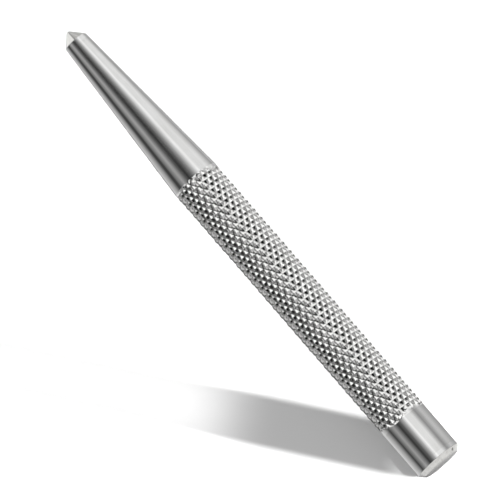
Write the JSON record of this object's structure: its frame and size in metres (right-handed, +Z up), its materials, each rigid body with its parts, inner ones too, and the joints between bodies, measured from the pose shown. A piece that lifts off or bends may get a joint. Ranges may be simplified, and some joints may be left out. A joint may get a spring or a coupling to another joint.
{
  "type": "center punch",
  "caption": "Solid center punch: ground conical point, plain tapered shank, diamond-knurled grip and a plain head with a chamfered striking face.",
  "frame": {"origin": "middle of the punch's box, on the surface it lies on", "axes": "+X along the bar, from the point to the struck face; +Z up from the surface it lies on"},
  "size_m": [0.115, 0.0104, 0.0102],
  "materials": {
    "point_steel": "hardened steel, ground lengthways towards the tip",
    "shank_steel": "hardened steel, turned and polished bright",
    "knurl_steel": "bright steel with a rolled diamond knurl",
    "head_steel": "turned and polished bright",
    "crown_steel": "faced off and chamfered, satin"
  },
  "bodies": {
    "root": {"ground_point": "point_steel", "tapered_shank": "shank_steel", "knurled_grip": "knurl_steel", "plain_head": "head_steel", "striking_crown": "crown_steel"}
  },
  "joints": []
}
